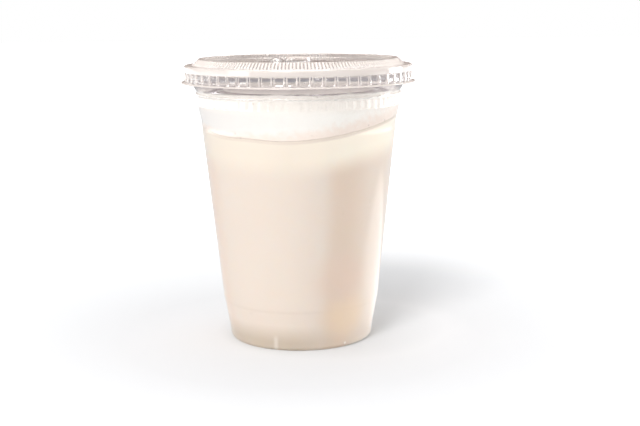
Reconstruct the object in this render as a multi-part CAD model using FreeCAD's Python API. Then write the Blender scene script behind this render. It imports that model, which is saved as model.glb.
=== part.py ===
import FreeCAD, Part
import math
import os

from FreeCAD import Vector

# Sweet lassi in a clear thermoformed cup under a flat push-fit lid.
# Millimetres, +Z up, the origin in the middle of the foot that the cup stands on.

# ---- cup: one formed sheet -------------------------------------------------
cupSheet = 0.45            # wall of the formed sheet
cupHeight = 119.7          # foot to the top of the rolled rim
footRadius = 31.2          # outer wall carried down to the table
heelRadius = 2.0           # round between wall and foot
footWidth = 2.4            # flat ring that the cup stands on
pushUp = 4.6               # the floor stands this far above the table
pushUpDraft = 1.1          # the inside of the foot leans in by this much
creaseHeight = 5.2         # the wall turns in here, above the heel
creaseRadius = 31.8
stackHeight = 18.2         # small stacking step low on the wall
stackRadius = 34.2
stackStep = 0.35           # how far that step goes in
stackRun = 1.5             # and its height
waistHeight = 92.2         # the long taper ends here
waistRadius = 42.1
waistBand = 3.2            # upright band above the taper
collarDraft = 1.8          # the collar widens by this much
collarHeight = 103.2       # foot of the short flutes
fluteHeight = 4.2          # short upright flutes that part nested cups
fluteCount = 72
fluteDepth = 0.35
beadHeight = 1.1           # round ring over the flutes
beadProud = 0.6
neckRise = 3.8             # funnel over the ring
neckFlare = 2.3
rimRadius = 48.8           # outside of the rolled rim
rimWidth = 2.0
rimDepth = 2.0

# ---- lid: one formed sheet -------------------------------------------------
lidSheet = 0.35
lidClearance = 0.15        # between the lid and the rolled rim
skirtHeight = 4.0          # band of gripping panels that grip under the rim
skirtPanels = 60
skirtDepth = 0.6
lipWidth = 1.3             # flange at the bottom edge
lipDrop = 0.25
shoulderWidth = 3.2        # flat step on top of the band
ridgeRise = 2.65           # from the step up to the stacking ridge
ridgeRun = 2.9             # the ribbed slope leans in by this much
ridgeWidth = 1.5
ribCount = 192
ribDepth = 0.4
recessDepth = 1.9          # from the ridge down to the middle panel
recessDraft = 1.0
panelCrown = 0.3           # the middle panel rises to its centre
bossRadius = 5.8           # raised straw boss
bossRise = 2.3
bossDraft = 0.5
slotLength = 8.4           # crossed cuts for the straw
slotWidth = 0.25
bubbleRadius = 3.3         # raised blister beside the boss
bubbleRise = 1.4
bubblePlace = (-9.6, 5.0)

# ---- drink -----------------------------------------------------------------
drinkGap = 0.05            # contents to the wall
frothTop = 107.4           # free surface under the lid
frothLump = 0.35           # unevenness of that surface
seamHeight = 94.2          # froth over drink, at the axis
seamLeanX = 0.059          # the seam rises to +X and to the back
seamLeanY = 0.070
seamBow = 0.0018           # it bows up to both sides
seamWave = 0.3             # and is a little wavy

overlap = 0.1              # by which sections of one sheet run into each other
roundTurn = 2 * math.pi
zigzag = ((0, 0), (0.5, 1))


def panels(crest, flank=0.12):
    """One flat crest and one flat panel, as shares of the pitch."""
    return ((-crest / 2, 0), (crest / 2, 0), (crest / 2 + flank, 1), (1 - crest / 2 - flank, 1))


def save(shape, node):
    shape.exportStep("parts/" + node + ".step")


def filletedEdges(corners):
    """Straight runs between corners (r, z, fillet), with each corner rounded by its fillet."""
    points = [Vector(r, 0, z) for r, z, fillet in corners]
    edges = []
    start = points[0]
    fillets = [fillet for r, z, fillet in corners[1:]]
    for before, corner, after, fillet in zip(points, points[1:], points[2:], fillets):
        back = (before - corner).normalize()
        ahead = (after - corner).normalize()
        half = back.getAngle(ahead) / 2
        if fillet > 0 and half < math.radians(89.9):
            reach = fillet / math.tan(half)
            first = corner + back * reach
            last = corner + ahead * reach
            middle = corner + (back + ahead).normalize() * (fillet / math.sin(half) - fillet)
            edges.append(Part.LineSegment(start, first).toShape())
            edges.append(Part.Arc(first, middle, last).toShape())
            start = last
        else:
            edges.append(Part.LineSegment(start, corner).toShape())
            start = corner
    edges.append(Part.LineSegment(start, points[-1]).toShape())
    return edges


def offsetCorners(corners, distance):
    """The same corners moved to the left of the path by distance, fillets kept concentric."""
    moved = []
    count = len(corners)
    for index, (r, z, fillet) in enumerate(corners):
        r0, z0 = corners[max(index - 1, 0)][:2]
        r1, z1 = corners[min(index + 1, count - 1)][:2]
        turnIn = math.atan2(z - z0, r - r0) if index > 0 else math.atan2(z1 - z, r1 - r)
        turnOut = math.atan2(z1 - z, r1 - r) if index < count - 1 else turnIn
        turn = math.remainder(turnOut - turnIn, roundTurn)
        heading = turnIn + turn / 2
        reach = distance / math.cos(turn / 2)
        side = 1 if turn * distance > 0 else -1
        rounded = max(fillet - side * abs(distance), 0.08) if fillet > 0 else 0
        moved.append((r - reach * math.sin(heading), z + reach * math.cos(heading), rounded))
    return moved


def sheet(corners, thickness):
    """A formed sheet: a path of corners given a thickness to its left and turned round the axis."""
    near = filletedEdges(corners)
    far = filletedEdges(offsetCorners(corners, thickness))
    close = Part.LineSegment(near[-1].Vertexes[-1].Point, far[-1].Vertexes[-1].Point).toShape()
    start = Part.LineSegment(far[0].Vertexes[0].Point, near[0].Vertexes[0].Point).toShape()
    return turned(near + [close] + far[::-1] + [start])


def turned(edges):
    """A closed outline in the XZ plane turned round the axis."""
    return Part.Face(Part.Wire(edges)).revolve(Vector(0, 0, 0), Vector(0, 0, 1), 360)


def plate(innerRadius, outerRadius, low, high):
    """A flat ring."""
    ring = Part.makeCylinder(outerRadius, high - low, Vector(0, 0, low))
    return ring.cut(Part.makeCylinder(innerRadius, high - low, Vector(0, 0, low)))


def flutedRing(count, pattern, low, high, depth, thickness):
    """A formed sheet in flutes, between two rings (r, z) that its crests lie on. The pattern
    gives the corners of one flute as shares of the pitch and of the depth."""

    def outline(radius, z, scale):
        points = []
        for index in range(count):
            for along, inward in pattern:
                angle = roundTurn * (index + along) / count
                reach = (radius - inward * depth) * scale
                points.append(Vector(reach * math.cos(angle), reach * math.sin(angle), z))
        return Part.makePolygon(points + points[:1])

    def body(radius):
        wires = [outline(radius, low[1], 1), outline(radius, high[1], high[0] / low[0])]
        return Part.makeLoft(wires, True, True)

    return body(low[0]).cut(body(low[0] - thickness))


def joined(pieces):
    """Sections of one sheet as one solid."""
    shape = pieces[0].multiFuse(pieces[1:])
    print("solids", len(shape.Solids), "faces", len(shape.Faces), "valid", shape.isValid())
    return shape


# ---- sizes that the pieces share -------------------------------------------
collarRadius = waistRadius + 0.1 + collarDraft
fluteTop = collarHeight + fluteHeight
beadTop = fluteTop + beadHeight
neckRadius = collarRadius + neckFlare
neckTop = beadTop + neckRise
footIn = footRadius - heelRadius - footWidth
lidRadius = rimRadius + lidClearance + lidSheet
lidStep = cupHeight + lidClearance + lidSheet
ridgeHeight = lidStep + ridgeRise
ridgeOut = lidRadius - shoulderWidth - ridgeRun
ridgeIn = ridgeOut - ridgeWidth
panelHeight = ridgeHeight - recessDepth
panelRadius = ridgeIn - recessDraft
bandFoot = cupHeight - rimDepth - lidClearance - lidSheet
skirtFoot = bandFoot - skirtHeight


def wallCorners():
    """The outside of the cup from the middle of its floor up to the foot of the flutes."""
    return [
        (0, pushUp, 0),
        (footIn - pushUpDraft, pushUp, 0.9),
        (footIn, 0, 0.7),
        (footRadius, 0, heelRadius),
        (creaseRadius, creaseHeight, 0),
        (stackRadius - stackStep, stackHeight - stackRun, 0.5),
        (stackRadius, stackHeight, 0.5),
        (waistRadius, waistHeight, 4),
        (waistRadius + 0.1, waistHeight + waistBand, 4),
        (collarRadius, collarHeight, 0),
    ]


def cup():
    lower = sheet(wallCorners(), cupSheet)
    inside = collarRadius - cupSheet - fluteDepth
    ledge = plate(inside, collarRadius, collarHeight - cupSheet, collarHeight)
    flutes = flutedRing(fluteCount, panels(0.34), (collarRadius, collarHeight - overlap),
                        (collarRadius, fluteTop + overlap), fluteDepth, cupSheet)
    crest = collarRadius + beadProud
    bead = turned(filletedEdges([
        (inside, beadTop, 0),
        (inside, fluteTop, 0),
        (crest, fluteTop, 0.25),
        (crest, beadTop, 0.55),
        (inside, beadTop, 0),
    ]))
    curlTop = cupHeight - cupSheet
    curlOut = rimRadius - cupSheet
    curlFoot = cupHeight - rimDepth + cupSheet
    upper = sheet([
        (collarRadius, beadTop - overlap, 0),
        (collarRadius, beadTop, 0),
        (neckRadius, neckTop, 1.2),
        (rimRadius - rimWidth, curlTop, 0.55),
        (curlOut, curlTop, 0.55),
        (curlOut, curlFoot, 0.4),
        (curlOut - 0.6, curlFoot, 0),
    ], cupSheet)
    return joined([lower, ledge, flutes, bead, upper])


def lid():
    top = sheet([
        (0, panelHeight + panelCrown + bossRise, 0),
        (bossRadius - bossDraft, panelHeight + panelCrown + bossRise, 0.6),
        (bossRadius, panelHeight + panelCrown, 0.5),
        (panelRadius, panelHeight, 0.5),
        (ridgeIn, ridgeHeight, 0.6),
        (ridgeOut + overlap, ridgeHeight, 0),
    ], -lidSheet)
    bubbleIn = Part.makeCylinder(bubbleRadius - lidSheet, 3 * lidSheet, Vector(0, 0, -2 * lidSheet))
    bubble = sheet([
        (0, bubbleRise, 0),
        (bubbleRadius - bubbleRise, bubbleRise, 0.8),
        (bubbleRadius, -lidSheet, 0),
    ], -lidSheet)
    place = Vector(*bubblePlace, panelHeight + panelCrown * (1 - math.hypot(*bubblePlace) / panelRadius))
    for piece in (bubbleIn, bubble):
        piece.translate(place)
    top = top.cut(bubbleIn)
    ribFoot = ridgeOut + ridgeRun
    ribs = flutedRing(ribCount, zigzag, (ribFoot, lidStep - overlap), (ridgeOut, ridgeHeight - overlap),
                      ribDepth, lidSheet)
    shoulder = sheet([
        (ribFoot - ribDepth - lidSheet - overlap, lidStep, 0),
        (lidRadius, lidStep, 0.8),
        (lidRadius, bandFoot, 0),
    ], -lidSheet)
    panelIn = lidRadius - skirtDepth - lidSheet
    ledge = plate(panelIn, lidRadius, bandFoot, bandFoot + lidSheet)
    skirt = flutedRing(skirtPanels, panels(0.2), (lidRadius, skirtFoot - overlap),
                       (lidRadius, bandFoot + overlap), skirtDepth, lidSheet)
    lip = sheet([
        (panelIn, skirtFoot, 0),
        (lidRadius + 0.2, skirtFoot, 0.3),
        (lidRadius + lipWidth, skirtFoot - lipDrop, 0),
    ], -lidSheet)
    slotLow = panelHeight + bossRise - 1
    cuts = [Part.makeBox(a, b, 3, Vector(-a / 2, -b / 2, slotLow))
            for a, b in ((slotLength, slotWidth), (slotWidth, slotLength))]
    return joined([top, bubble, ribs, shoulder, ledge, skirt, lip]).cut(Part.makeCompound(cuts))


def contents():
    """All that the cup holds: the inside of its wall, less a hair, up to over the free surface."""
    inner = offsetCorners(wallCorners(), cupSheet + drinkGap)
    inner[0] = (0, inner[0][1], 0)
    straight = collarRadius - fluteDepth - cupSheet - drinkGap
    side = filletedEdges(inner[:-1] + [(straight, inner[-1][1] - 1, 0), (straight, beadTop + 1, 0)])
    last = side[-1].Vertexes[-1].Point
    top = Vector(0, 0, last.z)
    side.append(Part.LineSegment(last, top).toShape())
    side.append(Part.LineSegment(top, side[0].Vertexes[0].Point).toShape())
    return turned(side)


def under(height, reach=50, cells=14):
    """Everything below a gently uneven surface z = height(x, y)."""
    steps = [reach * (2 * i / cells - 1) for i in range(cells + 1)]
    surface = Part.BSplineSurface()
    surface.interpolate([[Vector(x, y, height(x, y)) for y in steps] for x in steps])
    return surface.toShape().extrude(Vector(0, 0, -200))


def seam(x, y):
    wave = math.sin(x / 9.0 + 0.6) * math.cos(y / 11.0) + 0.6 * math.sin(x / 5.5 - y / 7.0)
    return seamHeight + seamLeanX * x + seamLeanY * y + seamBow * x * x + seamWave * wave


def frothSurface(x, y):
    return frothTop + frothLump * math.sin(x / 8.0 + 1.1) * math.cos(y / 7.0 - 0.4)


os.makedirs("parts", exist_ok=True)
fill = contents()
belowSeam = under(seam)
save(cup(), "cup")
save(lid(), "lid")
save(fill.common(belowSeam), "lassi")
save(fill.common(under(frothSurface)).cut(belowSeam), "froth")
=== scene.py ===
import math

import bpy
import numpy as np
from mathutils import Matrix, Vector


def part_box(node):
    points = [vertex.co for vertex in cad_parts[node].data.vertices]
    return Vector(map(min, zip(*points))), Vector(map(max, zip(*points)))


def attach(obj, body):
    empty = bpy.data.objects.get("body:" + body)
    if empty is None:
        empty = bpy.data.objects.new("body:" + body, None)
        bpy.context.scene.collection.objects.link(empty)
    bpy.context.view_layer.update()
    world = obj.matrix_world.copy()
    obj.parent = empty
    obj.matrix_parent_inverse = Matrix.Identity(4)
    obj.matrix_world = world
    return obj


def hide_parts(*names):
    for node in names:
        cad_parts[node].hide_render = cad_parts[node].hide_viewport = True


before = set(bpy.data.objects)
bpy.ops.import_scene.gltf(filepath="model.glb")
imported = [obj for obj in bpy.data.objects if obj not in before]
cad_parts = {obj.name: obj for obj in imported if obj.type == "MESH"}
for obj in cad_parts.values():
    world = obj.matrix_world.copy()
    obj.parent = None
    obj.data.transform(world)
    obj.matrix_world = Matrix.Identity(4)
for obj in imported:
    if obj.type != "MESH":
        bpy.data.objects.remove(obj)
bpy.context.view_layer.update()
mm = 0.001
turn = 2 * math.pi
even, eased = "LINEAR", "SMOOTHSTEP"


def linear(hexColour):
    # sRGB to linear: c / 12.92 below 0.04045, else ((c + 0.055) / 1.055) ^ 2.4
    parts = [int(hexColour[i:i + 2], 16) / 255 for i in (1, 3, 5)]
    return tuple(c / 12.92 if c <= 0.04045 else ((c + 0.055) / 1.055) ** 2.4 for c in parts) + (1.0,)


def addNode(tree, kind, inputs=None, **settings):
    # an input takes a value, a hex colour, a socket, or a node, linked by its first output in use
    made = tree.nodes.new("ShaderNode" + kind)
    for key, value in settings.items():
        setattr(made, key, value)
    for socket, value in (inputs or {}).items():
        if isinstance(value, bpy.types.Node):
            value = next(out for out in value.outputs if out.enabled)
        if isinstance(value, bpy.types.NodeSocket):
            tree.links.new(value, made.inputs[socket])
        else:
            made.inputs[socket].default_value = linear(value) if isinstance(value, str) else value
    return made


def combined(tree, operation, *parts):
    # parts multiplied, added or compared in turn; a part is a socket, a node, or a ramp of
    # (source, start, end, low, high, course) that gives low at the start and high at the end
    result = None
    for part in parts:
        if isinstance(part, tuple):
            source, start, end, low, high, course = part
            part = addNode(tree, "MapRange", {0: source, 1: start, 2: end, 3: low, 4: high},
                           interpolation_type=course)
        if result is None:
            result = part
        else:
            result = addNode(tree, "Math", {0: result, 1: part}, operation=operation)
    return result


def painted(tree, colour, layers):
    # each layer's colour is laid over those before it, as strongly as the product of its parts
    for parts, over in layers:
        strength = combined(tree, "MULTIPLY", *parts)
        colour = addNode(tree, "Mix", {0: strength, 6: colour, 7: over}, data_type="RGBA")
    return colour


def sideways(tree, x, y):
    # x over the distance from the axis: -1 at the left edge, 0 in front, 1 at the right edge
    flat = addNode(tree, "CombineXYZ", {0: x, 1: y})
    out = addNode(tree, "VectorMath", {0: flat}, operation="LENGTH")
    return addNode(tree, "Math", {0: x, 1: out}, operation="DIVIDE")


def newMaterial(name, unit=mm):
    # where is the place on the object, counted in the unit
    material = bpy.data.materials.new(name)
    material.use_nodes = True
    tree = material.node_tree
    tree.nodes.clear()
    place = addNode(tree, "TexCoord").outputs["Object"]
    where = addNode(tree, "VectorMath", {0: place, "Scale": 1 / unit}, operation="SCALE")
    return material, tree, where


def smoothStep(low, high, x):
    # 0 below low, 1 above high, and 3t^2 - 2t^3 between
    t = np.clip((x - low) / (high - low), 0, 1)
    return t * t * (3 - 2 * t)


def waves(x, y, z, seed, length, count=14):
    # mean of sine waves of about the given length, each in its own direction with its own phase
    draw = np.random.default_rng(seed)
    direction = draw.normal(size=(count, 3))
    direction /= np.linalg.norm(direction, axis=1, keepdims=True)
    direction *= turn / (length * draw.uniform(0.7, 1.4, size=(count, 1)))
    phase = draw.uniform(0, turn, count)
    total = sum(np.sin(d[0] * x + d[1] * y + d[2] * z + p) for d, p in zip(direction, phase))
    return total / math.sqrt(count)


def roundedPath(corners, step, bend=0.28):
    # straight runs between corners (r, z, fillet); each corner is cut back along both runs by its
    # fillet over the tangent of half the angle between them, and an arc of that radius joins them;
    # runs are divided at every step in mm, and arcs at every bend in radians
    points = [np.array(corners[0][:2], float)]
    for (r0, z0, _), (r, z, fillet), (r1, z1, _) in zip(corners, corners[1:], corners[2:]):
        corner = np.array([r, z], float)
        back, ahead = np.array([r0, z0]) - corner, np.array([r1, z1]) - corner
        back, ahead = back / np.linalg.norm(back), ahead / np.linalg.norm(ahead)
        half = math.acos(np.clip(back @ ahead, -1, 1)) / 2
        if fillet == 0 or half > math.radians(89.9):
            points.append(corner)
            continue
        middle = corner + (back + ahead) / np.linalg.norm(back + ahead) * fillet / math.sin(half)
        first, last = corner + back * fillet / math.tan(half), corner + ahead * fillet / math.tan(half)
        steps = max(2, int(round((math.pi - 2 * half) / bend)))
        share = np.linspace(0, 1, steps + 1)[:, None]
        chord = first * (1 - share) + last * share - middle
        points += list(middle + chord / np.linalg.norm(chord, axis=1, keepdims=True) * fillet)
    points.append(np.array(corners[-1][:2], float))
    points = np.array(points)
    runs = np.linalg.norm(np.diff(points, axis=0), axis=1)
    filled = [points[:1]]
    for a, b, run in zip(points, points[1:], runs):
        if run > 1e-6:
            cuts = max(1, int(math.ceil(run / step)))
            filled.append(a + (b - a) * (np.arange(1, cuts + 1) / cuts)[:, None])
    return np.concatenate(filled)


def angles(count):
    return turn * np.arange(count) / count


def ring(radius, z, count):
    # points (radius cos, radius sin, z) at even angles; a count of 1 is a point on the axis
    if count == 1:
        return np.array([[0.0, 0.0, np.mean(z)]])
    a = angles(count)
    return np.stack([radius * np.cos(a), radius * np.sin(a), np.broadcast_to(z, count)], 1)


def meshFromRings(name, rings, material):
    # rings of points are joined one to the next by four-sided faces; beside the axis by triangles,
    # and where one ring is several times finer by faces that take in that many of its edges
    start = np.cumsum([0] + [len(r) for r in rings])
    faces = []
    for a, b, low, high in zip(rings, rings[1:], start, start[1:]):
        na, nb = len(a), len(b)
        i = np.arange(max(min(na, nb), 1))
        if na == 1:
            i = np.arange(nb)
            block = [np.full(nb, low), high + (i + 1) % nb, high + i]
        elif nb == 1:
            i = np.arange(na)
            block = [low + i, low + (i + 1) % na, np.full(na, high)]
        elif na >= nb:
            k = na // nb
            block = [low + (i * k + s) % na for s in range(k + 1)] + [high + (i + 1) % nb, high + i]
        else:
            k = nb // na
            block = [low + i, low + (i + 1) % na] + [high + (i * k + s) % nb for s in range(k, -1, -1)]
        faces += np.stack(block, 1).tolist()
    mesh = bpy.data.meshes.new(name)
    mesh.from_pydata((np.concatenate(rings) * mm).tolist(), [], faces)
    mesh.shade_smooth()
    mesh.materials.append(material)
    piece = bpy.data.objects.new(name, mesh)
    bpy.context.collection.objects.link(piece)
    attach(piece, "root")
    return piece


def solidSheet(piece, thickness):
    solid = piece.modifiers.new("sheet", "SOLIDIFY")
    solid.thickness = thickness * mm
    solid.offset = -1
    solid.use_even_offset = True
    return piece


def setAttribute(piece, name, values):
    layer = piece.data.attributes.new(name, "FLOAT", "POINT")
    layer.data.foreach_set("value", np.asarray(values, dtype=np.float32))


def clearMaterial(name, settings):
    # clear, glossy and a little wavy; shadow rays and rays from the drink pass straight through,
    # so that what is behind it is lit evenly
    material, tree, where = newMaterial(name)
    swell = addNode(tree, "TexNoise", {"Vector": where, "Scale": 1 / settings["waveLength"],
                    "Detail": 2.0})
    haze = addNode(tree, "TexNoise", {"Vector": where, "Scale": 1 / settings["hazeLength"],
                   "Detail": 3.0})
    rough = combined(tree, "ADD", (haze, 0.3, 0.7, settings["smooth"], settings["rough"], even))
    bump = addNode(tree, "Bump", {"Height": swell, "Strength": settings["waveStrength"],
                   "Distance": settings["waveHeight"] * mm})
    # painted shade: the plastic takes the darker deep colour on the cup's neck, standing in for the
    # shade in the headspace behind it
    neckShade = addNode(tree, "Attribute", attribute_name="neckShade").outputs["Fac"]
    tone = painted(tree, settings["tint"], [([neckShade], settings["deep"])])
    skin = {"IOR": settings["ior"], "Roughness": rough, "Normal": bump}
    solid = addNode(tree, "BsdfPrincipled", {"Base Color": tone, "Transmission Weight": 1.0, **skin})
    if "white" in settings:
        # painted highlights: the sheet is whiter and lets less through where it bends over an edge,
        # standing in for the light these edges mirror
        paintedHighlight = addNode(tree, "Attribute", attribute_name="paintedHighlight").outputs["Fac"]
        white = addNode(tree, "BsdfPrincipled", {"Base Color": settings["white"], **skin})
        solid = addNode(tree, "MixShader", {0: paintedHighlight, 1: solid, 2: white})
    path = addNode(tree, "LightPath").outputs
    # each surface lets this share of the light through, the rest is lost to reflections
    through = addNode(tree, "BsdfTransparent", {"Color": settings["passes"]})
    lamps = addNode(tree, "MixShader", {0: path["Is Shadow Ray"], 1: solid, 2: through})
    inside = addNode(tree, "MixShader", {0: path["Is Diffuse Ray"], 1: lamps, 2: through})
    addNode(tree, "OutputMaterial", {"Surface": inside})
    return material


cup = dict(sheet=0.45, floor=4.6, heelRadius=2.0, footOut=31.2, footIn=26.8, draft=1.1,
           crease=(31.8, 5.2), stack=(34.2, 18.2), stackStep=0.35, stackRun=1.5,
           waist=(42.1, 92.2), waistBand=3.2, collar=(44.0, 103.2), fluteTop=107.4, fluteDepth=0.22,
           flutes=72, beadTop=108.5, beadProud=0.6, neck=(46.3, 112.3), rimWidth=2.0, rimDepth=2.0,
           fluteSteep=1.1, fluteFade=(0.5, 0.1), fluteStep=0.3, curlEnd=0.6, columns=576,
           plainColumns=192, step=4.0,
           neckFrom=(109.6, 110.4), neckTo=(112.6, 113.2))
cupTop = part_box("cup")[1][2] / mm
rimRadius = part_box("cup")[1][0] / mm


def wallCorners():
    # (radius, height, fillet) of the outside, from the middle of the floor to the top of the neck
    c = cup
    collarR, collarZ = c["collar"]
    bead = collarR + c["beadProud"]
    return [
        (0, c["floor"], 0), (c["footIn"] - c["draft"], c["floor"], 0.9), (c["footIn"], 0, 0.7),
        (c["footOut"], 0, c["heelRadius"]), (*c["crease"], 0.5),
        (c["stack"][0] - c["stackStep"], c["stack"][1] - c["stackRun"], 0.5), (*c["stack"], 0.5),
        (*c["waist"], 18), (c["waist"][0] + 0.1, c["waist"][1] + c["waistBand"], 18),
        (collarR, collarZ, 1.5), (collarR, c["fluteTop"], 0.1), (bead, c["fluteTop"] + 0.05, 0.25),
        (bead, c["beadTop"] - 0.02, 0.5), (collarR, c["beadTop"], 0.1), (*c["neck"], 1.2),
    ]


def fluteIn(a, z):
    # how far the wall is pressed in: flat crests and flat panels, fading out at both ends
    c = cup
    wave = np.clip(0.5 - c["fluteSteep"] * np.cos(c["flutes"] * a), 0, 1)
    low, high = c["collar"][1], c["fluteTop"]
    run, rest = c["fluteFade"]
    ends = smoothStep(low, low + run, z) * (1 - smoothStep(high - run, high - rest, z))
    return c["fluteDepth"] * wave * ends


def makeCup(material):
    c = cup
    curlOut, curlTop = rimRadius - c["sheet"], cupTop - c["sheet"]
    curlFoot = cupTop - c["rimDepth"] + c["sheet"]
    corners = wallCorners() + [(rimRadius - c["rimWidth"], curlTop, 0.55), (curlOut, curlTop, 0.55),
                               (curlOut, curlFoot, 0.4), (curlOut - c["curlEnd"], curlFoot, 0)]
    # the fluted band has more rings, with more points in each
    fluteLow, fluteHigh = c["collar"][1] - c["fluteStep"], c["fluteTop"] + c["fluteFade"][1]
    path = roundedPath(corners, c["step"])
    below, above = path[path[:, 1] <= fluteLow][1:], path[path[:, 1] >= fluteHigh]
    fine = np.arange(fluteLow + c["fluteFade"][1], fluteHigh, c["fluteStep"])
    collar = path[(path[:, 1] > c["waist"][1]) & (path[:, 1] < c["beadTop"])]
    radius = np.interp(fine, collar[:, 1], collar[:, 0])
    a = angles(c["columns"])
    rings = [ring(0, c["floor"], 1)]
    rings += [ring(r, z, c["plainColumns"]) for r, z in below]
    rings += [ring(r - fluteIn(a, z), z, c["columns"]) for r, z in zip(radius, fine)]
    rings += [ring(r, z, c["plainColumns"]) for r, z in above]
    piece = meshFromRings("clear_cup", rings, material)
    # painted shade: the neck is tinted darker, standing in for the shade in the headspace seen through
    # it
    height = np.concatenate(rings)[:, 2]
    neck = smoothStep(*c["neckFrom"], height) * (1 - smoothStep(*c["neckTo"], height))
    setAttribute(piece, "neckShade", neck)
    return solidSheet(piece, c["sheet"])


lid = dict(sheet=0.35, step=120.2, band=117.2, skirtFoot=113.2, radius=49.3, lipWidth=1.3, lipDrop=0.25,
           panels=60, panelDepth=0.6, panelWave=(2.6, 3.2), panelFoot=(0.1, 0.4), panelTop=(-0.45, 0.15),
           ribs=192, ribDepth=0.4, ribCrest=0.2, ribSide=0.3, ribStart=(0.03, 0.12), ribEnd=(0.88, 0.97),
           shoulder=46.1, ridge=(43.2, 122.85), ridgeWidth=1.5, floorEdge=(40.7, 120.95),
           floorRise=0.3, crownRadius=14.5, bossRadius=5.8, bossRise=2.3, bossDraft=0.5,
           slotReach=4.2, slotWidth=0.3, slotDepth=0.35, bubblePlace=(-9.6, 5.0), bubbleRadius=3.3,
           bubbleRise=1.4, bubbleFlat=0.45, columns=960, plainColumns=192, outerStep=2.2, innerStep=1.0,
           skirtRing=0.42, bandRings=(-0.45, -0.15, 0.15, 0.35),
           ribHighlight=0.5, panelHighlight=0.5, bandHighlight=0.42, lipHighlight=0.6, ridgeHighlight=0.35)


def lidPaths():
    # the outside up to the ridge, and the sunken top from there to the middle, as (radius, height);
    # rings only where the panels and the ribs start and end, as the runs between them are straight
    d = lid
    ridgeR, ridgeZ = d["ridge"]
    top = d["floorEdge"][1] + d["floorRise"]
    bossTop = top + d["bossRise"]
    crest = (ridgeR - d["ridgeWidth"] / 2, ridgeZ, 0)
    shoulder = np.array([d["shoulder"], d["step"]])
    slope = np.array(d["ridge"]) - shoulder
    upright = [(d["radius"], d["skirtFoot"] + d["skirtRing"], 0)]
    upright += [(d["radius"], d["band"] + rise, 0) for rise in d["bandRings"]]
    shares = (*d["ribStart"], 0.5, *d["ribEnd"])
    leaning = [(*(shoulder + slope * share), 0) for share in shares]
    outer = roundedPath([
        (d["radius"] + d["lipWidth"], d["skirtFoot"] - d["lipDrop"], 0),
        (d["radius"], d["skirtFoot"], 0.25), *upright, (d["radius"], d["step"], 0.8),
        (*shoulder, 0.1), *leaning, (ridgeR, ridgeZ, 0.1), crest], d["outerStep"])
    inner = roundedPath([
        crest, (ridgeR - d["ridgeWidth"], ridgeZ, 0.5), (*d["floorEdge"], 0.5),
        (d["crownRadius"], top, 0), (d["bossRadius"], top, 0.4),
        (d["bossRadius"] - d["bossDraft"], bossTop, 0.5), (0, bossTop, 0)], d["innerStep"])
    return outer, inner, slope


def makeLid(material):
    d = lid
    outer, inner, slope = lidPaths()
    ridgeZ = d["ridge"][1]
    a = angles(d["columns"])
    deep, steep = d["panelWave"]
    panelWave = np.clip(deep - steep * np.cos(d["panels"] * a), 0, 1)
    fine = angles(2 * d["columns"])
    # flat crests with sharp grooves between them
    phase = np.abs((d["ribs"] * fine / turn + 0.5) % 1 - 0.5)
    ribWave = np.clip((phase - d["ribCrest"]) / d["ribSide"], 0, 1)
    normal = np.array([slope[1], -slope[0]]) / np.linalg.norm(slope)
    rings, paintedHighlight = [], []
    for r, z in outer:
        foot, band = z - d["skirtFoot"], z - d["band"]
        low, high = d["panelTop"]
        pressed = d["panelDepth"] * smoothStep(*d["panelFoot"], foot)
        pressed *= 1 - np.clip((band - low) / (high - low), 0, 1)
        along = (z - d["step"]) / slope[1]
        ribbed = d["ribDepth"] * smoothStep(*d["ribStart"], along)
        ribbed *= 1 - smoothStep(*d["ribEnd"], along)
        if ribbed > 0:
            depth = ribbed * ribWave
            rings.append(ring(r - depth * normal[0], z - depth * normal[1], len(fine)))
            # painted highlight on the flat crests of the ribs
            paintedHighlight.append(d["ribHighlight"] * (1 - ribWave))
        else:
            rings.append(ring(r - pressed * panelWave, z, d["columns"]))
            # painted highlights: whiter on the lip, the band and the ridge, and halfway up the panels'
            # sides
            white = d["lipHighlight"] * (foot < 0.1) + d["ridgeHighlight"] * (z > ridgeZ - 0.1)
            white += d["bandHighlight"] * smoothStep(-0.2, 0.3, band) * (z < d["step"] + 0.1)
            edges = 4 * panelWave * (1 - panelWave) * pressed / d["panelDepth"]
            paintedHighlight.append(np.clip(white + d["panelHighlight"] * edges, 0, 1))
    a = angles(d["plainColumns"])
    for r, z in inner[1:-1]:
        x, y = r * np.cos(a), r * np.sin(a)
        cross = np.exp(-(np.minimum(np.abs(x), np.abs(y)) / (d["slotWidth"] / 2)) ** 2)
        cross = cross * (r < d["slotReach"]) * d["slotDepth"]
        away = np.hypot(x - d["bubblePlace"][0], y - d["bubblePlace"][1]) / d["bubbleRadius"]
        bubble = d["bubbleRise"] * (1 - smoothStep(d["bubbleFlat"], 1.0, away))
        bubble *= r > d["bossRadius"] + 0.2
        rings.append(ring(r, z - cross + bubble, d["plainColumns"]))
        # painted highlight on the ridge's top
        paintedHighlight.append(np.full(d["plainColumns"], d["ridgeHighlight"] * (z > ridgeZ - 0.2)))
    rings.append(ring(0, inner[-1, 1] - d["slotDepth"], 1))
    paintedHighlight.append(np.zeros(1))
    piece = meshFromRings("clear_lid", rings, material)
    setAttribute(piece, "paintedHighlight", np.concatenate(paintedHighlight))
    # the ribs keep their flat facets
    middles = np.empty(len(piece.data.polygons) * 3)
    piece.data.polygons.foreach_get("center", middles)
    away, up = np.hypot(*middles.reshape(-1, 3).T[:2]) / mm, middles.reshape(-1, 3)[:, 2] / mm
    ribs = (away > d["ridge"][0]) & (away < d["shoulder"]) & (up > d["step"] + 0.1)
    piece.data.polygons.foreach_set("use_smooth", ~ribs)
    return solidSheet(piece, d["sheet"])


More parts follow.
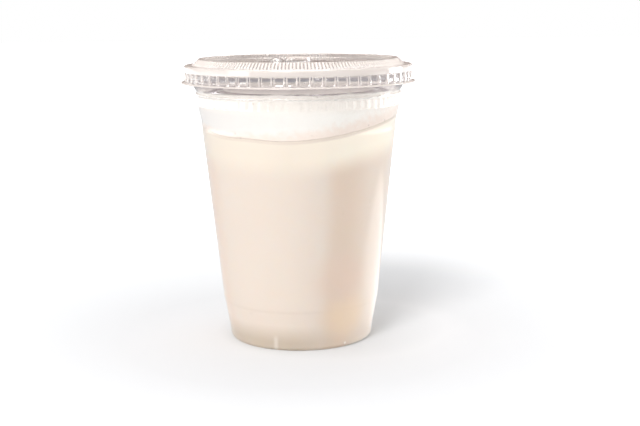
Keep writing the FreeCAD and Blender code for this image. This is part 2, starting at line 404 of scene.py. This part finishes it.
drink = dict(reach=0.30, seam=94.2, leanX=0.059, leanY=0.070, bow=0.0018, wave=0.3, gap=0.2,
             plainTo=8, seamRings=12, topRings=(0.9, 0.7, 0.4, 0.2), columns=576, plainColumns=192,
             frothTop=107.4, lumps=[(5, 16.0, 0.28), (6, 4.0, 0.096), (7, 1.6, 0.04)], film=2.4,
             filmFoot=0.8, frothRings=34, frothUnder=(0.2, 0.4, 0.7, 0.9, 0.98),
             frothEdge=(0.3, 0.7, 1.1, 1.6, 2.2, 3.0), frothInner=(4, 43.5, 54))


def seamHeight(x, y):
    # a leaning plane, bowed up to both sides, with a small wave on it from two sines
    wave = np.sin(x / 9.0 + 0.6) * np.cos(y / 11.0) + 0.6 * np.sin(x / 5.5 - y / 7.0)
    lean = drink["leanX"] * x + drink["leanY"] * y
    return drink["seam"] + lean + drink["bow"] * x * x + drink["wave"] * wave


def insideWall():
    # the wall's outside moved in by the reach, from the floor up to the neck
    path = roundedPath(wallCorners(), 1.0)
    tangent = np.gradient(path, axis=0)
    tangent /= np.linalg.norm(tangent, axis=1, keepdims=True)
    return path + np.stack([-tangent[:, 1], tangent[:, 0]], 1) * drink["reach"]


def wallRadius(inside, z):
    rising = inside[:, 1] > cup["crease"][1]
    return np.interp(z, inside[rising, 1], inside[rising, 0])


def makeLassi(material):
    inside = insideWall()
    count = drink["plainColumns"]
    a = angles(count)
    lowest = drink["seam"] - drink["plainTo"]
    rings = [ring(0, inside[0, 1], 1)]
    wall = inside[1:np.argmax(inside[:, 1] > lowest)]
    rings += [ring(r, z, count) for r, z in wall if r > 1]
    at = wallRadius(inside, drink["seam"])
    edge = seamHeight(at * np.cos(a), at * np.sin(a))
    for share in np.linspace(0.1, 1, drink["seamRings"]):
        z = lowest + (edge - lowest) * share
        rings.append(ring(wallRadius(inside, z), z, count))
    for share in drink["topRings"]:
        r = wallRadius(inside, edge) * share
        rings.append(ring(r, seamHeight(r * np.cos(a), r * np.sin(a)), count))
    rings.append(ring(0, seamHeight(0.0, 0.0), 1))
    piece = meshFromRings("lassi_drink", rings, material)
    points = np.concatenate(rings)
    setAttribute(piece, "belowSeam", seamHeight(points[:, 0], points[:, 1]) - points[:, 2])
    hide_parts("lassi")
    return piece


def frothHeight(x, y, wall):
    # low lumps, finer ones on them, and a thin film that clings to the wall above the foam
    r = np.hypot(x, y)
    lumps = sum(height * waves(x, y, 0 * x, seed, length) for seed, length, height in drink["lumps"])
    return drink["frothTop"] + lumps + drink["film"] * np.exp((r - wall) / drink["filmFoot"])


def makeFroth(material):
    inside = insideWall()
    count = drink["columns"]
    a = angles(count)
    rings = [ring(0, seamHeight(0.0, 0.0) + drink["gap"], 1)]
    at = wallRadius(inside, drink["seam"])
    edge = seamHeight(at * np.cos(a), at * np.sin(a))
    for share in drink["frothUnder"]:
        # light passes from one to the other over a thin gap, shut at the wall
        r = wallRadius(inside, edge) * share
        rings.append(ring(r, seamHeight(r * np.cos(a), r * np.sin(a)) + drink["gap"], count))
    wall = wallRadius(inside, drink["frothTop"] + drink["film"])
    top = frothHeight(wall * np.cos(a), wall * np.sin(a), wall)
    wall = wallRadius(inside, top)
    for share in np.linspace(0, 1, drink["frothRings"]):
        z = edge + (top - edge) * share
        rings.append(ring(wallRadius(inside, z) - fluteIn(a, z), z, count))
    for inwards in (*drink["frothEdge"], *np.linspace(*drink["frothInner"])):
        r = wall - inwards
        rings.append(ring(r, frothHeight(r * np.cos(a), r * np.sin(a), wall), count))
    rings.append(ring(0, frothHeight(0.0, 0.0, np.mean(wall)), 1))
    piece = meshFromRings("lassi_froth", rings, material)
    points = np.concatenate(rings)
    setAttribute(piece, "aboveSeam", points[:, 2] - seamHeight(points[:, 0], points[:, 1]))
    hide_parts("froth")
    return piece


lassiLook = dict(body="#E6D8CB", edge="#E9D4C3", shade="#E2CEBC", shading=1.0, swirl="#E4D2C6",
                 swirlSize=30, creamLeft="#EEE1D1", creamRightLit="#FDF1E0", creamDepth=(18, 7.5),
                 seamShadow="#E6D7C8", low="#C9B9A7", heelLight=1.0, streak="#DCD0C3", streakAt=-10.8,
                 patches=[("#ECD5BC", (18, -27, 15), 15, 3), ("#E4CDBC", (17, -29, 32), 17, 3),
                          ("#F7EFE6", (18.6, -25.0, 2.0), 0.8, 0.2)],
                 soak=0.4, soakRadius=(1.0, 0.7, 0.5), soakDepth=4)


def lassiMaterial():
    # yogurt thinned with water and sugar: opaque, softly scattering, wet against the wall
    look = lassiLook
    material, tree, where = newMaterial("lassi, whisked yogurt")
    depth = addNode(tree, "Attribute", attribute_name="belowSeam").outputs["Fac"]
    x, y, z = addNode(tree, "SeparateXYZ", {0: where}).outputs
    side = sideways(tree, x, y)
    inFront = (y, 20, 0, 0, 1, even)
    paler = (side, 0.52, 0.8, 1, 0.3, eased)
    cloud = addNode(tree, "TexNoise", {"Vector": where, "Scale": 1 / look["swirlSize"], "Detail": 3.0})
    # painted light: the cream is paler towards the right side
    cream = painted(tree, look["creamLeft"], [([(side, -0.1, 0.45, 0, 1, even)], look["creamRightLit"])])
    beside = addNode(tree, "Math", {0: x, 1: look["streakAt"]}, operation="SUBTRACT")
    beside = addNode(tree, "Math", {0: beside}, operation="ABSOLUTE")
    shading, heelLight = look["shading"], look["heelLight"]
    layers = [
        # painted shade: warmer at the left edge, where it is seen through more of the wall, and on the
        # side away from the light
        ([(side, -0.80, -0.95, 0, shading, eased)], look["edge"]),
        ([(side, 0.22, 0.42, 0, shading, eased), inFront, paler], look["shade"]),
        # swirls of richer yogurt
        ([(cloud, 0.45, 0.75, 0, 0.12, even)], look["swirl"]),
        # cream has risen to the top of the drink, paler on the right as painted light, and a thin
        # painted shadow under the froth ends it
        ([(depth, *look["creamDepth"], 0, 1, eased)], cream),
        ([(depth, 1.6, 0.9, 0, 1, even)], look["seamShadow"]),
        # painted shade: a faint line at the stacking step, and a dimmer foot where the wall turns in
        ([(z, 18.6, 17.6, 0, 0.12, even), (z, 16.4, 17.4, 0, 1, even)], look["low"]),
        ([(z, 11.5, 4.0, 0, 1, even), (x, -6, 20, 1, 0.2, eased)], look["low"]),
        # light gathered by the heel: a streak, and then a warm patch, a ruddier one and a glint
        ([(beside, 1.3, 0.3, 0, heelLight, even), (z, 7.5, 5.5, 0, 1, even), inFront], look["streak"]),
    ]
    for colour, middle, outer, inner in look["patches"]:
        away = addNode(tree, "VectorMath", {0: where, 1: middle}, operation="DISTANCE")
        layers.append(([(away, outer, inner, 0, heelLight, eased)], colour))
    # light that would soak across into the froth is kept at the surface
    soaks = combined(tree, "MULTIPLY", (depth, 1, 12, 0, look["soak"], even))
    shader = addNode(tree, "BsdfPrincipled", {
        "Base Color": painted(tree, look["body"], layers), "Roughness": 0.5, "IOR": 1.35,
        "Specular IOR Level": 0.15, "Subsurface Weight": soaks,
        "Subsurface Radius": look["soakRadius"], "Subsurface Scale": look["soakDepth"] * mm})
    addNode(tree, "OutputMaterial", {"Surface": shader})
    return material


frothLook = dict(body="#F0EBE6", right="#FDF7F0", top="#F8F0E8", soaked="#F5E5D9", bubble="#CDBCB2",
                 cellSize=0.9, cellDepth=0.3, mottleSize=2.5, soakedUp=(3, 8), bubbleSpacing=2.6,
                 bubbleRadius=(0.24, 0.10), bubbleChance=0.28, soak=0.2, soakDepth=5)


def frothMaterial():
    # foam of fine bubbles: nearly white, matt, with cells just under 1 mm on its surface
    look = frothLook
    material, tree, where = newMaterial("lassi froth, fine foam")
    cells = addNode(tree, "TexVoronoi", {"Vector": where, "Scale": 1 / look["cellSize"]})
    bump = addNode(tree, "Bump", {"Height": cells, "Strength": 0.35, "Distance": look["cellDepth"] * mm})
    height = addNode(tree, "Attribute", attribute_name="aboveSeam").outputs["Fac"]
    x, y, z = addNode(tree, "SeparateXYZ", {0: where}).outputs
    # drink has soaked up into the foam, further on the side it leans to, in mottles of 2 to 3 mm
    mottle = addNode(tree, "TexNoise", {"Vector": where, "Scale": 1 / look["mottleSize"], "Detail": 3.0})
    reach = combined(tree, "DIVIDE", height, (x, -30, 28, *look["soakedUp"], even))
    broken = combined(tree, "ADD", reach, (mottle, 0.3, 0.7, -0.2, 0.2, even))
    # a few open bubbles of about 1 mm at the rim and along the seam
    bubbles = addNode(tree, "TexVoronoi", {"Vector": where, "Scale": 1 / look["bubbleSpacing"]}).outputs
    draw = addNode(tree, "SeparateColor", {0: bubbles["Color"]})
    few = addNode(tree, "Math", {0: draw, 1: 1 - look["bubbleChance"]}, operation="GREATER_THAN")
    rims = combined(tree, "MAXIMUM", (z, 105.5, 106.5, 0, 1, even), (height, 2.5, 1.0, 0, 1, even))
    white = painted(tree, look["body"], [
        # painted light: the foam is paler towards the right, where less lamp light falls, so that it
        # looks evenly lit
        ([(x, -25, 15, 0, 1, even)], look["right"]),
        ([(z, 101, 104, 0, 1, even)], look["top"]),
        ([(broken, 0.1, 1.0, 1, 0, eased)], look["soaked"]),
        ([(bubbles["Distance"], *look["bubbleRadius"], 0, 1, even), few, rims], look["bubble"]),
    ])
    soaks = combined(tree, "MULTIPLY", (height, 1, 7, 0, look["soak"], even))
    foam = addNode(tree, "BsdfPrincipled", {
        "Base Color": white, "Roughness": 0.7, "Specular IOR Level": 0.1, "Normal": bump,
        "Subsurface Weight": soaks, "Subsurface Radius": (1.0, 1.0, 1.0),
        "Subsurface Scale": look["soakDepth"] * mm})
    addNode(tree, "OutputMaterial", {"Surface": foam})
    return material


drops = dict(wide=0.42, tall=0.95, proud=0.38, rings=13, columns=20,
             places=[(49, 63), (43, 54), (27.5, 60.5), (-39, 16.5)])


def makeDrop(name, azimuth, z, material):
    # a ball squashed to half-sizes wide, tall and proud, its inner half sunk in the cup's wall;
    # its azimuth is counted from the front towards the right
    path = roundedPath(wallCorners(), 1.0)
    rising = path[:, 1] > cup["heelRadius"]
    radius = np.interp(z, path[rising, 1], path[rising, 0])
    turned = math.radians(azimuth)
    outwards = np.array([math.sin(turned), -math.cos(turned), 0])
    across = np.array([math.cos(turned), math.sin(turned), 0])
    axes = np.stack([across * drops["wide"], np.array([0, 0, 1]) * drops["tall"],
                     outwards * drops["proud"]])
    axes[0] *= np.sign(np.linalg.det(axes))
    place = outwards * radius + np.array([0, 0, z])
    rings = []
    for lift in np.radians(np.linspace(-90, 90, drops["rings"])):
        count = 1 if math.cos(lift) < 1e-6 else drops["columns"]
        rings.append(ring(math.cos(lift), math.sin(lift), count) @ axes + place)
    return meshFromRings(name, rings, material)


camera = dict(distance=0.526, height=0.147, focal=67.8, pitch=9.99, yaw=-0.967, roll=-0.52)
lamps = [
    dict(name="key", azimuth=-21, elevation=43, distance=2.4, size=0.8, power=0.53),
    dict(name="fill", azimuth=-60, elevation=10, distance=2.4, size=1.0, power=0.19, shadow=False),
    dict(name="rim", azimuth=113, elevation=6, distance=2.0, size=0.8, power=0.62, shadow=False),
    dict(name="top", azimuth=170, elevation=75, distance=2.0, size=0.8, power=0.12),
]
# each pair gives where something starts and where it is full: in metres on the floor, as a share of
# the way to the side for screens and aside, and as the ray's direction in the world
studio = dict(floorColour="#EFF0F2", floorPaintedShadow="#DEE1E4", paintedShadowAt=(0.014, 0.008, 0),
              paintedShadowEdge=(0.022, 0.052), glow=1.0, glowFrom=(0.08, 0.6), throughFloor="#949298",
              front="#7C7A7E", frontFrom=(-0.4, -0.7), tableLeft=2.0, tableRight=1.6,
              tableFrom=(0.4, 0.6), sheet=1.0, sheetAt=(0.16, 0.09, 0), sheetHalf=(0.15, 0.075, 1),
              sheetTurn=35, sheetEdge=(0.6, 1.3), screenLeft=3.0, screenLeftFrom=(-0.72, -0.86),
              screenRight=1.5, screenRightFrom=(0.42, 0.52), screenRightTo=(0.86, 0.78),
              screenAway=(1.0, 1.4), screenFront=(0, -0.1), floorHalf=4.0, aimHeight=0.06,
              ambient=0.495, low="#AFA19B", aside="#EDE2DC", asideFrom=(0.15, 0.4),
              high="#FFF9F4", highFrom=(0.25, 0.5), overhead=4.0, overheadFrom=(0.75, 0.9),
              side=0.5, sideFrom=(0.7, 0.9))


def makeCamera():
    view = bpy.data.objects.new("camera", bpy.data.cameras.new("camera"))
    bpy.context.collection.objects.link(view)
    view.data.sensor_width = 36.0
    view.data.lens = camera["focal"]
    view.data.clip_start = 0.01
    view.location = (0, -camera["distance"], camera["height"])
    tilt = math.radians(90 - camera["pitch"])
    look = Matrix.Rotation(math.radians(camera["yaw"]), 4, "Z") @ Matrix.Rotation(tilt, 4, "X") \
        @ Matrix.Rotation(math.radians(camera["roll"]), 4, "Z")
    view.rotation_euler = look.to_euler()
    bpy.context.scene.camera = view


def makeLamps():
    # azimuth is counted from the front towards the right; power is the light that falls on the object
    for lamp in lamps:
        data = bpy.data.lights.new(lamp["name"], "AREA")
        data.energy = lamp["power"] * math.pi ** 2 * lamp["distance"] ** 2
        data.size = lamp["size"]
        data.use_shadow = lamp.get("shadow", True)
        light = bpy.data.objects.new(lamp["name"], data)
        bpy.context.collection.objects.link(light)
        turned, raised = math.radians(lamp["azimuth"]), math.radians(lamp["elevation"])
        towards = Vector((math.sin(turned) * math.cos(raised), -math.cos(turned) * math.cos(raised),
                          math.sin(raised)))
        light.location = towards * lamp["distance"] + Vector((0, 0, studio["aimHeight"]))
        light.rotation_euler = towards.to_track_quat("Z", "Y").to_euler()


def makeFloor():
    # matt white sweep; away from the object it glows past white to the camera
    material, tree, where = newMaterial("floor, matt white paint", unit=1.0)
    path = addNode(tree, "LightPath").outputs
    mirrored = path["Is Glossy Ray"]
    x, y, z = addNode(tree, "SeparateXYZ", {0: where}).outputs
    side = sideways(tree, x, y)
    away = addNode(tree, "VectorMath", {0: where}, operation="LENGTH")
    glow = combined(tree, "MULTIPLY", (away, *studio["glowFrom"], 0, studio["glow"], even),
                    path["Is Camera Ray"])
    # what glossy plastic mirrors: pale tables to both sides and a pale sheet behind to the right
    turned = addNode(tree, "Mapping", {
        "Vector": where, "Location": studio["sheetAt"], "Scale": studio["sheetHalf"],
        "Rotation": (0, 0, math.radians(studio["sheetTurn"]))}, vector_type="TEXTURE")
    fromSheet = addNode(tree, "VectorMath", {0: turned}, operation="LENGTH")
    near, far = studio["tableFrom"]
    tables = combined(tree, "ADD", (x, -near, -far, 0, studio["tableLeft"], eased),
                      (x, near, far, 0, studio["tableRight"], eased),
                      (fromSheet, *studio["sheetEdge"], studio["sheet"], 0, eased))
    lift = combined(tree, "ADD", glow, combined(tree, "MULTIPLY", tables, mirrored))
    # painted shadow: the floor is darker close to the foot, centred a little behind and to the right
    beside = addNode(tree, "VectorMath", {0: where, 1: studio["paintedShadowAt"]}, operation="DISTANCE")
    paint = painted(tree, studio["floorPaintedShadow"], [
        ([(beside, *studio["paintedShadowEdge"], 0, 1, even)], studio["floorColour"])])
    matt = addNode(tree, "BsdfDiffuse", {"Color": paint})
    lit = addNode(tree, "Emission", {"Color": "#FFFFFF", "Strength": lift})
    table = addNode(tree, "AddShader", {0: matt, 1: lit})
    # the room in front is dark, with a pale screen to the left and a narrower one to the right
    ahead = combined(tree, "MULTIPLY", (y, *studio["frontFrom"], 0, 1, eased), mirrored)
    dark = addNode(tree, "Emission", {"Color": studio["front"]})
    room = addNode(tree, "MixShader", {0: ahead, 1: table, 2: dark})
    screenLeft = (side, *studio["screenLeftFrom"], 0, studio["screenLeft"], eased)
    screenRight = combined(tree, "MULTIPLY",
                           (side, *studio["screenRightFrom"], 0, studio["screenRight"], even),
                           (side, *studio["screenRightTo"], 0, 1, even))
    screens = combined(tree, "MULTIPLY", combined(tree, "ADD", screenLeft, screenRight),
                       (away, *studio["screenAway"], 0, 1, even),
                       (y, *studio["screenFront"], 0, 1, even), mirrored)
    screenLit = addNode(tree, "Emission", {"Color": "#FFFFFF", "Strength": screens})
    room = addNode(tree, "AddShader", {0: room, 1: screenLit})
    # what is seen of it through clear plastic is dimmed, less so to the sides
    aside = addNode(tree, "Math", {0: side}, operation="ABSOLUTE")
    seen = painted(tree, studio["throughFloor"], [
        ([(aside, *studio["asideFrom"], 0, 1, eased)], studio["aside"])])
    dim = addNode(tree, "Emission", {"Color": seen})
    shown = addNode(tree, "MixShader", {0: path["Is Transmission Ray"], 1: room, 2: dim})
    addNode(tree, "OutputMaterial", {"Surface": shown})
    half = studio["floorHalf"]
    mesh = bpy.data.meshes.new("studio_floor")
    mesh.from_pydata([(-half, -half, 0), (half, -half, 0), (half, half, 0), (-half, half, 0)], [],
                     [(0, 1, 2, 3)])
    mesh.materials.append(material)
    floor = bpy.data.objects.new("studio_floor", mesh)
    bpy.context.collection.objects.link(floor)


def makeWorld():
    # white to the camera and an even soft light to matt things; clear plastic sees a room, dim near
    # the horizon, with bright walls to both sides and a broad softbox overhead
    world = bpy.data.worlds.new("studio")
    world.use_nodes = True
    bpy.context.scene.world = world
    tree = world.node_tree
    tree.nodes.clear()
    path = addNode(tree, "LightPath").outputs
    x, y, z = addNode(tree, "SeparateXYZ", {0: addNode(tree, "TexCoord").outputs["Generated"]}).outputs
    aside = addNode(tree, "Math", {0: x}, operation="ABSOLUTE")
    room = painted(tree, studio["low"], [
        ([(aside, *studio["asideFrom"], 0, 1, eased)], studio["aside"]),
        ([(z, *studio["highFrom"], 0, 1, even)], studio["high"]),
    ])
    bright = combined(tree, "ADD", (z, *studio["overheadFrom"], 1, studio["overhead"], eased),
                      (aside, *studio["sideFrom"], 0, studio["side"], eased))
    lit = addNode(tree, "VectorMath", {0: room, "Scale": bright}, operation="SCALE")
    clear = combined(tree, "MAXIMUM", path["Is Glossy Ray"], path["Is Transmission Ray"])
    shown = painted(tree, [studio["ambient"]] * 3 + [1.0],
                    [([clear], lit), ([path["Is Camera Ray"]], "#FFFFFF")])
    sky = addNode(tree, "Background", {"Color": shown})
    addNode(tree, "OutputWorld", {"Surface": sky})


print("camera, lamps and floor")
makeCamera()
makeLamps()
makeFloor()
makeWorld()

print("cup and lid")
# thermoformed PET is clear and glossy, and faintly wavy from the tool it was drawn over
cupPlastic = clearMaterial("cup, thermoformed PET", dict(
    ior=1.57, tint="#FCFDFD", deep="#D6D1D6", passes="#FCFCFC", waveLength=14,
    waveHeight=0.3, waveStrength=0.15, hazeLength=5, smooth=0.02, rough=0.07))
lidPlastic = clearMaterial("lid, thermoformed PET", dict(
    ior=1.57, tint="#FBFAFA", white="#FCF2EB", deep="#D8D5DC", passes="#EFEDEC", waveLength=9,
    waveHeight=0.3, waveStrength=0.2, hazeLength=4, smooth=0.02, rough=0.08))
cupPiece = makeCup(cupPlastic)
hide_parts("cup")
lidPiece = makeLid(lidPlastic)
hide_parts("lid")

print("lassi and froth")
makeLassi(lassiMaterial())
makeFroth(frothMaterial())

print("water drops")
# condensed water is smooth and clear
water = clearMaterial("drops, condensed water", dict(
    ior=1.33, tint="#FFFFFF", deep="#FFFFFF", passes="#FFFFFF", waveLength=9,
    waveHeight=0.01, waveStrength=0.1, hazeLength=4, smooth=0.0, rough=0.01))
for number, (azimuth, z) in enumerate(drops["places"], 1):
    makeDrop("water_drop_%d" % number, azimuth, z, water)

bpy.context.scene.view_settings.view_transform = "Standard"
bpy.context.view_layer.update()
print("done")
